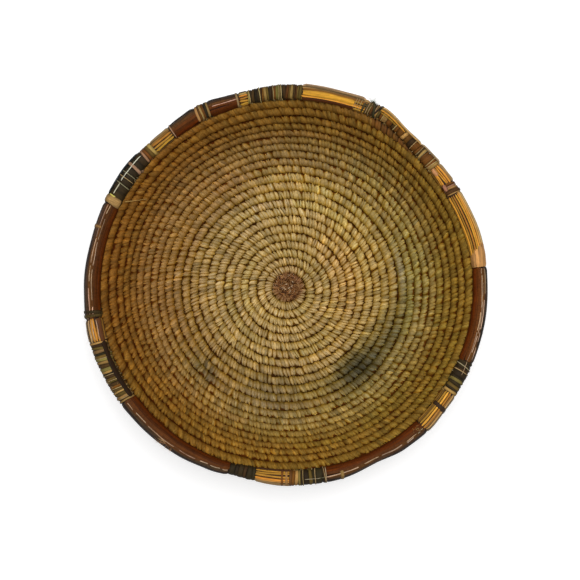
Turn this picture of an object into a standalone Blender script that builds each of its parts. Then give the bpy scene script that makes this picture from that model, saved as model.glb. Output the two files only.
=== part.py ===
"""Coiled basket bowl: one grass bundle wound outward from a start knot into a flat
floor and a flaring wall, each loop sewn to the one before, under a bound rim.

Units are metres, +Z is up, and the origin is the middle of the face it stands on.
Seen from above, the coil winds outward clockwise. Angles are counted
counterclockwise from +X.
"""

import math

import bmesh
import bpy
from mathutils import Vector

# Bowl: the line through the middle of the foundation bundle, from the axis outward
FLOOR_RADIUS = 0.0943
WALL_SPREAD = 0.0679
WALL_RISE = 0.0535
LIP_SLOPE = math.radians(32)
FLOOR_BEND = 0.037
LIP_BEND = 0.026
WALL_SHIFT = 0.0011
WALL_OVAL = 0.0012

# Foundation bundle
COIL_DIAMETER = 0.0068
LOOP_GAP = 0.00098
COIL_SIDES = 6
POINTS_PER_LOOP = 24
MOST_LOOPS = 24
COIL_END_ANGLE = math.radians(62)
LEAST_SELF_GAP = 0.0004

# Start knot
KNOT_LEAST_RADIUS = 0.0073
KNOT_DOME = 0.0012
KNOT_EDGE_INSET = 0.0011
KNOT_DOME_INSET = 0.0044

# Sewing in the groove between two loops, on the inside of the bowl
SEWING_SINK = 0.0006

# Rim
RIM_CORE_RADIUS = 0.0034
RIM_COVER = 0.00225
RIM_SIDES = 8
RIM_STEP_ANGLE = math.radians(44)
RIM_SEGMENT_DEGREES = 5

# Tapered end of the coil
TAIL_LEAST_THICKNESS = 0.0014
TAIL_TIP_HALF_HEIGHT = 0.0014
TAIL_STEP = math.radians(2)

# Clearances, of which the wall's bend takes up part of the sewing's
FACE_GAP = 0.0003
SLEEVE_GAP = 0.00045
SEWING_GAP = 0.0006

# How much thicker or thinner the rim's cover is than RIM_COVER, by angle in degrees
RIM_SWELL = (
    (0, -0.0001),
    (15, 0.0002),
    (30, -0.0003),
    (45, -0.0007),
    (53, -0.0011),
    (65, -0.0001),
    (75, -0.0005),
    (90, 0.0004),
    (105, -0.0006),
    (116, 0.0004),
    (130, -0.0004),
    (145, 0.0004),
    (165, 0.0002),
    (180, 0.0010),
    (196, 0.0019),
    (210, 0.0014),
    (225, 0.0006),
    (240, -0.0002),
    (255, -0.0011),
    (270, 0.0003),
    (285, 0.0002),
    (299, -0.0008),
    (315, 0.0007),
    (330, 0.0000),
    (345, 0.0000),
)

# Sections of the rim's cover, counterclockwise: name, material, start and end in degrees
RIM_SECTIONS = (
    ("rim_lashing_1", "tie", 62, 66),
    ("rim_straw_1", "straw", 66, 86),
    ("rim_wrap_1", "olive_fibre", 86, 102),
    ("rim_straw_2", "straw", 102, 104.5),
    ("rim_bark_1", "bark", 104.5, 114),
    ("rim_lashing_2", "tie", 114, 118),
    ("rim_bark_2", "bark", 118, 127),
    ("rim_straw_3", "straw", 127, 134),
    ("rim_wrap_2", "black_fibre", 134, 155),
    ("rim_bark_3", "bark", 155, 189),
    ("rim_straw_4", "straw", 189, 196),
    ("rim_wrap_3", "olive_fibre", 196, 215),
    ("rim_bark_4", "bark", 215, 252),
    ("rim_wrap_4", "black_fibre", 252, 260),
    ("rim_straw_5", "straw", 260, 271),
    ("rim_wrap_5", "olive_fibre", 271, 281),
    ("rim_bark_5", "bark", 281, 314),
    ("rim_straw_6", "straw", 314, 327),
    ("rim_wrap_6", "black_fibre", 327, 337.5),
    ("rim_bark_6", "bark", 337.5, 366),
    ("rim_straw_7", "straw", 366, 389.5),
    ("rim_lashing_3", "tie", 389.5, 393),
    ("rim_straw_8", "straw", 393, 399.5),
    ("rim_wrap_7", "black_fibre", 399.5, 407),
    ("rim_bark_7", "bark", 407, 422),
)

# Colour and roughness
MATERIALS = {
    "foundation": ((0.30, 0.21, 0.09), 0.85),
    "sewing": ((0.40, 0.28, 0.11), 0.70),
    "knot": ((0.12, 0.05, 0.03), 0.85),
    "straw": ((0.62, 0.33, 0.09), 0.60),
    "bark": ((0.09, 0.025, 0.01), 0.35),
    "black_fibre": ((0.02, 0.02, 0.018), 0.50),
    "olive_fibre": ((0.05, 0.05, 0.02), 0.55),
    "tie": ((0.42, 0.26, 0.14), 0.70),
}

SHARP_EDGE = math.radians(50)
CURVE_STEPS = 400

FULL_TURN = 2 * math.pi
COIL_RADIUS = COIL_DIAMETER / 2
COIL_PITCH = COIL_DIAMETER + LOOP_GAP
LOOP_STEP = FULL_TURN / POINTS_PER_LOOP
# The bundle is cut flat where it stands, by a tenth of its diameter
FLOOR_LEVEL = COIL_RADIUS - COIL_DIAMETER / 10


def wall_curve():
    """The wall's line as (length from the axis, radius, height), from the floor's edge to the lip."""
    lean = Vector((math.cos(LIP_SLOPE), math.sin(LIP_SLOPE)))
    foot = Vector((FLOOR_RADIUS, FLOOR_LEVEL))
    top = foot + Vector((WALL_SPREAD, WALL_RISE))
    handles = (foot, foot + Vector((FLOOR_BEND, 0)), top - LIP_BEND * lean, top)
    line = [(FLOOR_RADIUS, *foot)]
    length = FLOOR_RADIUS
    before = foot
    for step in range(1, CURVE_STEPS + 1):
        t = step / CURVE_STEPS
        weights = ((1 - t) ** 3, 3 * (1 - t) ** 2 * t, 3 * (1 - t) * t * t, t**3)
        point = sum((w * h for w, h in zip(weights, handles)), Vector((0, 0)))
        length += (point - before).length
        before = point
        line.append((length, *point))
    return line


WALL = wall_curve()
COIL_END = WALL[-1][0]
COIL_START = KNOT_LEAST_RADIUS + FACE_GAP + COIL_RADIUS
LOOPS = min(MOST_LOOPS, (COIL_END - COIL_START) / COIL_PITCH)
LAST_POINT = math.floor(LOOPS * POINTS_PER_LOOP)


def on_profile(length):
    """(radius, height, slope) at this length from the axis, and straight on past the lip."""
    if length <= FLOOR_RADIUS:
        return length, FLOOR_LEVEL, 0.0
    if length >= COIL_END:
        past = length - COIL_END
        _, radius, height = WALL[-1]
        return radius + past * math.cos(LIP_SLOPE), height + past * math.sin(LIP_SLOPE), LIP_SLOPE
    low, high = 0, len(WALL) - 1
    while high - low > 1:
        middle = (low + high) // 2
        if WALL[middle][0] <= length:
            low = middle
        else:
            high = middle
    start, end = WALL[low], WALL[high]
    share = (length - start[0]) / (end[0] - start[0])
    slope = math.atan2(end[2] - start[2], end[1] - start[1])
    radius = start[1] + share * (end[1] - start[1])
    height = start[2] + share * (end[2] - start[2])
    return radius, height, slope


def smooth(share):
    share = min(max(share, 0.0), 1.0)
    return share * share * (3 - 2 * share)


def lopsided(angle, length):
    """How far the hand-made wall stands out from a true round, which grows up the wall."""
    grown = smooth((length - FLOOR_RADIUS) / (COIL_END - FLOOR_RADIUS))
    return grown * (WALL_SHIFT * math.cos(angle) + WALL_OVAL * math.cos(2 * angle))


def place(angle, length, along=0.0, up=0.0):
    """The point at this angle and length, moved along the profile and up its inner side."""
    radius, height, slope = on_profile(length)
    out = radius + lopsided(angle, length) + along * math.cos(slope) - up * math.sin(slope)
    level = height + along * math.sin(slope) + up * math.cos(slope)
    return Vector((out * math.cos(angle), out * math.sin(angle), level))


def coil_angle(point):
    """The angle of the foundation's point of this number, counted from the knot."""
    return COIL_END_ANGLE + LOOP_STEP * (LAST_POINT - point)


def coil_length(point):
    return COIL_END - COIL_PITCH * (LAST_POINT - point) / POINTS_PER_LOOP


def polygon(sides, radius, turned=0.0):
    """A regular section as (along, up), its first corner turned from the profile's line."""
    corners = (turned + FULL_TURN * k / sides for k in range(sides))
    return tuple((radius * math.cos(c), radius * math.sin(c)) for c in corners)


def wedge():
    """The sewing's section: its sides run along those of the loops on either side of it."""
    lean = math.pi / 2 - math.pi / COIL_SIDES
    foot = (SEWING_GAP - LOOP_GAP / 2 * math.sin(lean)) / math.cos(lean)
    top = COIL_RADIUS * math.sin(lean) - SEWING_SINK
    half_width = (top - foot) / math.tan(lean)
    return (0.0, foot), (half_width, top), (-half_width, top)


def ring_at(angle, length, section):
    return [place(angle, length, along, up) for along, up in section]


def moved(ring, offset):
    return [point + offset for point in ring]


def around(angle):
    """The direction in which the angle grows."""
    return Vector((-math.sin(angle), math.cos(angle), 0))


def new_material(name):
    colour, roughness = MATERIALS[name]
    material = bpy.data.materials.new(name)
    material.use_nodes = True
    shader = material.node_tree.nodes["Principled BSDF"]
    shader.inputs["Base Color"].default_value = (*colour, 1)
    shader.inputs["Roughness"].default_value = roughness
    shader.inputs["Metallic"].default_value = 0.0
    material.diffuse_color = (*colour, 1)
    return material


def add_object(name, shape, material):
    bmesh.ops.recalc_face_normals(shape, faces=shape.faces)
    mesh = bpy.data.meshes.new(name)
    shape.to_mesh(mesh)
    shape.free()
    mesh.shade_smooth()
    mesh.set_sharp_from_angle(angle=SHARP_EDGE)
    mesh.materials.append(new_material(material))
    bpy.context.scene.collection.objects.link(bpy.data.objects.new(name, mesh))


def skin(shape, rings):
    """Joins each ring of corners to the next, and returns the rings' vertices."""
    made = [[shape.verts.new(point) for point in ring] for ring in rings]
    for first, second in zip(made, made[1:]):
        for k in range(len(first)):
            after = (k + 1) % len(first)
            shape.faces.new((first[k], first[after], second[after], second[k]))
    return made


def sweep(name, rings, material):
    """A solid bar through these rings, closed at both ends."""
    shape = bmesh.new()
    made = skin(shape, rings)
    shape.faces.new(made[0])
    shape.faces.new(made[-1])
    add_object(name, shape, material)


def sleeve(name, outer_rings, inner_rings, material):
    """A tube with a bore through these rings, open at both ends."""
    shape = bmesh.new()
    outer = skin(shape, outer_rings)
    inner = skin(shape, inner_rings)
    for end in (0, -1):
        for k in range(len(outer[end])):
            after = (k + 1) % len(outer[end])
            shape.faces.new((outer[end][k], outer[end][after], inner[end][after], inner[end][k]))
    add_object(name, shape, material)


def flattened(rings):
    """The rings with what would lie under the base brought up to it."""
    return [[Vector((p.x, p.y, max(p.z, 0.0))) for p in ring] for ring in rings]


def coil_point(point):
    return place(coil_angle(point), coil_length(point))


def first_run():
    """The coil's first run, one diameter long: its start, its heading and its last point's number."""
    start = coil_point(0)
    knee_point = 1
    while (coil_point(knee_point) - start).length < COIL_DIAMETER:
        knee_point += 1
    return start, (coil_point(knee_point) - start).normalized(), knee_point


def left_of(heading):
    return Vector((-heading.y, heading.x, 0))


def coil_rings():
    """The foundation's rings. Its first and last runs are straight, one diameter long."""
    section = polygon(COIL_SIDES, COIL_RADIUS)
    start, heading, knee_point = first_run()
    knee = coil_point(knee_point)
    first = [start + along * left_of(heading) + Vector((0, 0, up)) for along, up in section]
    rings = [first, moved(first, knee - start)]
    for point in range(knee_point + 1, LAST_POINT):
        rings.append(ring_at(coil_angle(point), coil_length(point), section))
    last = ring_at(COIL_END_ANGLE, COIL_END, section)
    rings.append(moved(last, COIL_DIAMETER * around(COIL_END_ANGLE)))
    rings.append(last)
    return rings


def least_self_gap(rings):
    """The least distance between the tube's own loops, from the middles of its rings."""
    middles = [sum(ring, Vector()) / len(ring) for ring in rings]
    half_loop = POINTS_PER_LOOP // 2
    least = math.inf
    for number, middle in enumerate(middles):
        last_near = min(number + 3 * half_loop, len(middles) - 1)
        for near in range(number + half_loop, last_near):
            start = middles[near]
            run = middles[near + 1] - start
            share = min(max((middle - start).dot(run) / run.length_squared, 0.0), 1.0)
            least = min(least, (middle - start - share * run).length)
    return least - COIL_DIAMETER


def make_foundation():
    rings = coil_rings()
    gap = least_self_gap(rings)
    print(f"foundation coil: {LAST_POINT / POINTS_PER_LOOP:.1f} loops")
    print(f"foundation coil: least gap to itself {gap * 1000:.2f} mm")
    if gap < LEAST_SELF_GAP:
        print("foundation coil: its loops lie closer than they should")
    sweep("foundation_coil", flattened(rings), "foundation")


def make_start_knot():
    """A flat button whose side follows the first loop, with a step that the coil's end meets."""
    reach = COIL_RADIUS + FACE_GAP
    start, heading, knee_point = first_run()
    outward = left_of(heading)
    if outward.dot(start) < 0:
        outward = -outward
    seat = start - FACE_GAP * heading
    outline = [(seat - reach * outward, outward), (coil_point(knee_point) - reach * outward, outward)]
    for point in range(knee_point + 1, POINTS_PER_LOOP):
        angle = coil_angle(point)
        side = Vector((math.cos(angle), math.sin(angle), 0))
        outline.append((place(angle, coil_length(point) - reach), side))
    outline.append((seat + (COIL_PITCH - reach) * outward, outward))
    top = 2 * FLOOR_LEVEL
    levels = (
        (0.0, KNOT_EDGE_INSET),
        (KNOT_EDGE_INSET, 0.0),
        (top - KNOT_EDGE_INSET, 0.0),
        (top, KNOT_EDGE_INSET),
        (top + KNOT_DOME, KNOT_DOME_INSET),
    )
    rings = []
    for level, inset in levels:
        corners = (corner - inset * side for corner, side in outline)
        rings.append([Vector((corner.x, corner.y, level)) for corner in corners])
    sweep("start_knot", rings, "knot")


def make_sewing():
    """One strip for each course, in the groove between a loop and the next one out."""
    section = wedge()
    half_gap = FACE_GAP / 2
    _, _, knee_point = first_run()
    last_groove_point = LAST_POINT - POINTS_PER_LOOP
    courses = last_groove_point // POINTS_PER_LOOP
    for course in range(courses):
        first = max(course * POINTS_PER_LOOP, knee_point)
        last = last_groove_point if course == courses - 1 else (course + 1) * POINTS_PER_LOOP
        rings = []
        for point in range(first, last + 1):
            rings.append(ring_at(coil_angle(point), coil_length(point) + COIL_PITCH / 2, section))
        rings[0] = moved(rings[0], -half_gap * around(coil_angle(first)))
        rings[-1] = moved(rings[-1], half_gap * around(coil_angle(last)))
        sweep(f"sewing_course_{course + 1:02d}", rings, "sewing")


def rim_swell(angle):
    """What RIM_SWELL adds here, eased between the angles that it lists."""
    degrees = math.degrees(angle) % 360
    stops = [*RIM_SWELL, (RIM_SWELL[0][0] + 360, RIM_SWELL[0][1])]
    start, before = stops[0]
    for end, after in stops[1:]:
        if degrees <= end:
            break
        start, before = end, after
    return before + (after - before) * smooth((degrees - start) / (end - start))


def rim_half_width(angle):
    return RIM_CORE_RADIUS + SLEEVE_GAP + RIM_COVER + rim_swell(angle)


def under_rim(angle):
    """The length at which the rim is carried: the outer side of the coil's last loop."""
    turn = (angle - COIL_END_ANGLE) % FULL_TURN
    step = FULL_TURN - (COIL_END_ANGLE - RIM_STEP_ANGLE)
    carried = COIL_END - COIL_PITCH * min(turn, step) / FULL_TURN
    rise = smooth((turn - step) / (FULL_TURN - step))
    return carried + (COIL_END - carried) * rise + COIL_RADIUS


def rim_length(angle):
    return under_rim(angle) + FACE_GAP + rim_half_width(angle)


def make_rim_core():
    """The rim's bundle, once round, its two ends face to face where the coil's last row ends."""
    count = round(360 / RIM_SEGMENT_DEGREES)
    section = polygon(RIM_SIDES, RIM_CORE_RADIUS, math.pi / RIM_SIDES)
    angles = [COIL_END_ANGLE + FULL_TURN * k / count for k in range(count + 1)]
    rings = [ring_at(angle, rim_length(angle), section) for angle in angles]
    rings[0] = moved(rings[0], FACE_GAP / 2 * around(angles[0]))
    rings[-1] = moved(rings[-1], -FACE_GAP / 2 * around(angles[-1]))
    sweep("rim_core", rings, "foundation")


def make_rim_section(name, material, start, end):
    """A length of the rim's cover, round the core, with the gap to its neighbours at each end."""
    first, last = math.radians(start), math.radians(end)
    count = math.ceil((end - start) / RIM_SEGMENT_DEGREES)
    bore = polygon(RIM_SIDES, RIM_CORE_RADIUS + SLEEVE_GAP, math.pi / RIM_SIDES)
    outer_rings = []
    inner_rings = []
    for k in range(count + 1):
        angle = first + (last - first) * k / count
        outside = polygon(RIM_SIDES, rim_half_width(angle), math.pi / RIM_SIDES)
        outer_rings.append(ring_at(angle, rim_length(angle), outside))
        inner_rings.append(ring_at(angle, rim_length(angle), bore))
    half_gap = FACE_GAP / 2
    for rings in (outer_rings, inner_rings):
        rings[0] = moved(rings[0], half_gap * around(first))
        rings[-1] = moved(rings[-1], -half_gap * around(last))
    sleeve(name, outer_rings, inner_rings, material)


def tail_room(angle):
    """The width between the loop under the tail and the rim over it."""
    loop_below = COIL_END - COIL_PITCH * (1 - (COIL_END_ANGLE - angle) / FULL_TURN) + COIL_RADIUS
    return under_rim(angle) - loop_below - 2 * FACE_GAP


def make_coil_tail():
    """The coil's tapered end, between the loop under it and the rim that climbs over it."""
    rings = []
    angle = COIL_END_ANGLE
    while tail_room(angle) >= TAIL_LEAST_THICKNESS:
        half = min(COIL_DIAMETER, tail_room(angle)) / 2
        half_height = TAIL_TIP_HALF_HEIGHT + (COIL_RADIUS - TAIL_TIP_HALF_HEIGHT) * half / COIL_RADIUS
        section = [(half * along, half_height * up) for along, up in polygon(COIL_SIDES, 1.0)]
        rings.append(ring_at(angle, under_rim(angle) - FACE_GAP / 2 - half, section))
        angle -= TAIL_STEP
    rings[0] = moved(rings[0], -FACE_GAP * around(COIL_END_ANGLE))
    sweep("coil_tail", rings, "tie")


def centre_on_origin():
    """Moves every piece so that the middle of the bowl's outline stands over the origin."""
    pieces = list(bpy.context.scene.objects)
    corners = [vertex.co for piece in pieces for vertex in piece.data.vertices]
    middle_x = (min(c.x for c in corners) + max(c.x for c in corners)) / 2
    middle_y = (min(c.y for c in corners) + max(c.y for c in corners)) / 2
    for piece in pieces:
        for vertex in piece.data.vertices:
            vertex.co.x -= middle_x
            vertex.co.y -= middle_y
    print(f"coil centre at {-middle_x * 1000:.2f}, {-middle_y * 1000:.2f} mm")


def main():
    for old in list(bpy.data.objects):
        bpy.data.objects.remove(old)
    make_foundation()
    make_start_knot()
    make_sewing()
    make_coil_tail()
    make_rim_core()
    for section in RIM_SECTIONS:
        make_rim_section(*section)
    centre_on_origin()


main()
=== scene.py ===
"""Looks of a coiled basket bowl: stitched grass coils, a fuzzy start knot, and a bound rim."""
import math

import bpy
import numpy as np
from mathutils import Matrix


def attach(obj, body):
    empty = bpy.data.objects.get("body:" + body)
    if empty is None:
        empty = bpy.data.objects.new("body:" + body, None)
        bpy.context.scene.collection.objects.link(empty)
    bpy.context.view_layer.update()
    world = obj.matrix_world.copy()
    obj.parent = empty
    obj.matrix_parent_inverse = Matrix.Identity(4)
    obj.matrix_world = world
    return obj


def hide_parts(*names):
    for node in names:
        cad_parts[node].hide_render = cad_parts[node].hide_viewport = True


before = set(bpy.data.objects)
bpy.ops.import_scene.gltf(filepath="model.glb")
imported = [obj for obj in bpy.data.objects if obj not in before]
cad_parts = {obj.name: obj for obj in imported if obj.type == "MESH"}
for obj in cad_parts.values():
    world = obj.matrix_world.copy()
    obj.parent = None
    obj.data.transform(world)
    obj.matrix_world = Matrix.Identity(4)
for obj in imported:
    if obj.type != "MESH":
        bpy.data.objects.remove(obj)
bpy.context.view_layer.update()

# Lengths are in millimetres and angles in radians, unless a name says otherwise. Dyes are sRGB, 0 to 255
MM = 0.001
TURN = 2 * math.pi

# Bowl, as the construction has it: the line through the middle of the grass bundle
CENTRE = np.array([1.58, -1.75, 0.0])
FLOOR_RADIUS = 94.3
FLOOR_LEVEL = 2.72
WALL_SPREAD = 67.9
WALL_RISE = 53.5
LIP_SLOPE = math.radians(32)
FLOOR_BEND = 37.0
LIP_BEND = 26.0
WALL_SHIFT = 1.1
WALL_OVAL = 1.2
CURVE_STEPS = 400
COIL_RADIUS = 3.4
COIL_PITCH = 7.78
COIL_START = 11.0
COIL_END_ANGLE = math.radians(62)
POINTS_PER_LOOP = 24
COURSES = 21

# Rim, as the construction has it
RIM_STEP_ANGLE = math.radians(44)
RIM_CORE_RADIUS = 3.4
RIM_MIDDLE = 6.1
FACE_GAP = 0.3
RIM_SWELL = (
    (0, -0.2), (15, 0.2), (30, -0.3), (45, -0.6), (54, -1.6), (65, -0.1), (75, -0.4), (90, 0.4),
    (105, -0.5), (116, 0.7), (130, -0.6), (145, 0.4), (165, 0.2), (180, 1.0), (196, 2.1), (210, 1.8),
    (222, 1.3), (236, 0.9), (246, 0.0), (255, -1.2), (270, 0.0), (285, 0.1), (297, -1.2), (306, 0.1),
    (315, 0.5), (322, -0.1), (345, -0.2), (360, -0.2),
)

# Sections of a strand, half-round and of a hair, as (across, out) with sizes of one
ARCH = np.array([(-1.0, -0.15), (-0.84, 0.5), (-0.36, 0.97), (0.36, 0.97), (0.84, 0.5), (1.0, -0.15)])
HAIR = np.array([(math.cos(a), math.sin(a)) for a in np.arange(4) * TURN / 4])
UP = np.array((0.0, 0.0, 1.0))
# The sides of a bundle, by their direction from its middle
TUBE = np.arange(12) * TURN / 12


def ribbed(low, high=1.0):
    """A bundle's sides in turn higher and lower, or paler and darker."""
    return np.where(np.arange(len(TUBE)) % 2, low, high)


def smooth(share):
    share = np.clip(share, 0.0, 1.0)
    return share * share * (3 - 2 * share)


def grown(value, span):
    """0 before the span, 1 past it, and a smooth change between."""
    return smooth((value - span[0]) / (span[1] - span[0]))


def mixed(first, second, share):
    return first * (1 - share) + second * share


def wall_line():
    """Length from the axis, radius, height and slope along the wall, from the floor's edge to the lip."""
    lean = np.array([math.cos(LIP_SLOPE), math.sin(LIP_SLOPE)])
    foot = np.array([FLOOR_RADIUS, FLOOR_LEVEL])
    top = foot + (WALL_SPREAD, WALL_RISE)
    t = np.linspace(0, 1, CURVE_STEPS + 1)[:, None]
    line = (1 - t) ** 3 * foot + 3 * (1 - t) ** 2 * t * (foot + (FLOOR_BEND, 0))
    line = line + 3 * (1 - t) * t * t * (top - LIP_BEND * lean) + t**3 * top
    steps = np.hypot(*np.diff(line, axis=0).T)
    lengths = FLOOR_RADIUS + np.concatenate(([0], np.cumsum(steps)))
    slopes = np.arctan2(np.gradient(line[:, 1]), np.gradient(line[:, 0]))
    return lengths, line[:, 0], line[:, 1], slopes


LENGTHS, RADII, HEIGHTS, SLOPES = wall_line()
COIL_END = LENGTHS[-1]
LOOPS = math.floor((COIL_END - COIL_START) / COIL_PITCH * POINTS_PER_LOOP) / POINTS_PER_LOOP


def profile(length):
    """Radius, height and slope at these lengths from the axis: flat on the floor, straight past the lip."""
    short = np.minimum(length, FLOOR_RADIUS) - FLOOR_RADIUS
    past = np.maximum(length - COIL_END, 0)
    radius = np.interp(length, LENGTHS, RADII) + short + past * math.cos(LIP_SLOPE)
    height = np.interp(length, LENGTHS, HEIGHTS) + past * math.sin(LIP_SLOPE)
    return radius, height, np.interp(length, LENGTHS, SLOPES)


def lopsided(angle, length):
    """How much further out the bowl reaches on this side than a round one."""
    climb = grown(length, (FLOOR_RADIUS, COIL_END))
    return climb * (WALL_SHIFT * np.cos(angle) + WALL_OVAL * np.cos(2 * angle))


def turned(angle, out, level):
    """Points at this angle round the bowl's axis, this far out and this high."""
    angle, out, level = np.broadcast_arrays(angle, out, level)
    return np.stack([out * np.cos(angle), out * np.sin(angle), level], -1) + CENTRE


# How far the photograph's rows lie up the wall from the construction's: length from the axis, then the
# slide on the bowl's +X, +Y, -X and -Y side
ROW_SLIDE = np.array([
    (19, -0.45, -0.40, -0.20, -0.40),
    (27, -0.15, -1.00, -0.80, -0.70),
    (35, -0.35, -1.10, -0.85, -1.30),
    (42, -0.60, -1.35, -1.30, -1.80),
    (50, -0.90, -1.15, -1.35, -2.00),
    (58, -1.00, -1.50, -1.45, -2.15),
    (66, -0.55, -1.40, -1.25, -1.95),
    (73, -0.35, -1.10, -1.15, -1.75),
    (81, -0.55, -0.95, -0.75, -1.35),
    (89, -0.80, -0.80, -0.80, -0.85),
    (97, -1.00, -0.65, -0.95, -0.80),
    (105, -0.55, -0.30, -0.70, -0.60),
    (112, 0.35, 0.20, -0.20, 0.20),
    (120, 0.50, 0.20, -0.20, 0.60),
    (128, 0.40, 0.25, -0.10, 0.60),
    (136, 0.20, 0.85, 0.30, 0.55),
    (144, 0.35, 1.85, 1.05, 0.60),
    (151, 0.75, 2.30, 1.65, 0.80),
    (159, 1.10, 2.10, 1.45, 0.45),
    (167, 0.90, 1.30, 0.80, -0.20),
    (175, 0.10, 0.90, 0.95, -0.65),
    (182, -0.40, 0.40, 1.10, -0.80),
    (190, -0.40, 0.20, 0.80, -0.70),
])


def slid(angle, length):
    """The length at which the photograph shows what the construction has at this one."""
    quarter = (angle % TURN) / TURN * 4
    side = np.floor(quarter).astype(int) % 4
    slides = [np.interp(length, ROW_SLIDE[:, 0], column) for column in ROW_SLIDE[:, 1:].T]
    here, beyond = np.choose(side, slides), np.choose((side + 1) % 4, slides)
    return length + here + (beyond - here) * smooth(quarter - np.floor(quarter))


def place(angle, length, along, up):
    """Points beside the wall's line: moved along the profile, and up to the bowl's inside."""
    middle = slid(angle, length)
    along = slid(angle, length + along) - middle
    radius, height, slope = profile(middle)
    out = radius + lopsided(angle, length) + along * np.cos(slope) - up * np.sin(slope)
    return turned(angle, out, height + along * np.sin(slope) + up * np.cos(slope))


def placed(angle, length, along, up, away=(0, 1)):
    """Points beside the wall's line, and the way outward there, which is given as (along, up)."""
    points = place(angle, length, along, up)
    return points, place(angle, length, along + away[0], up + away[1]) - points


def coil_angle(turns):
    """The coil's angle after this many turns from its start. It winds outward clockwise."""
    return COIL_END_ANGLE + TURN * (LOOPS - turns)


def coil_length(turns):
    return COIL_END - COIL_PITCH * (LOOPS - turns)


def unit(vectors):
    return vectors / np.maximum(np.linalg.norm(vectors, axis=-1, keepdims=True), 1e-9)


def rings(points, outward, half_widths, heights, section):
    """The section swept along paths of points (strand, step, xyz), its out side near outward."""
    ahead = unit(np.gradient(points, axis=-2))
    across = unit(np.cross(ahead, outward))
    out = np.cross(across, ahead)
    wide = (np.asarray(half_widths)[..., None] * section[..., 0])[..., None]
    high = (np.asarray(heights)[..., None] * section[..., 1])[..., None]
    return points[..., None, :] + across[..., None, :] * wide + out[..., None, :] * high


def linear(dye):
    """sRGB from 0 to 255 as the shader's linear colour."""
    share = np.clip(np.asarray(dye, float) / 255, 0, 1)
    return np.where(share <= 0.04045, share / 12.92, ((share + 0.055) / 1.055) ** 2.4)


def add_object(name, data, at=(0, 0, 0)):
    thing = bpy.data.objects.new(name, data)
    thing.location = at
    bpy.context.scene.collection.objects.link(thing)
    return thing


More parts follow.
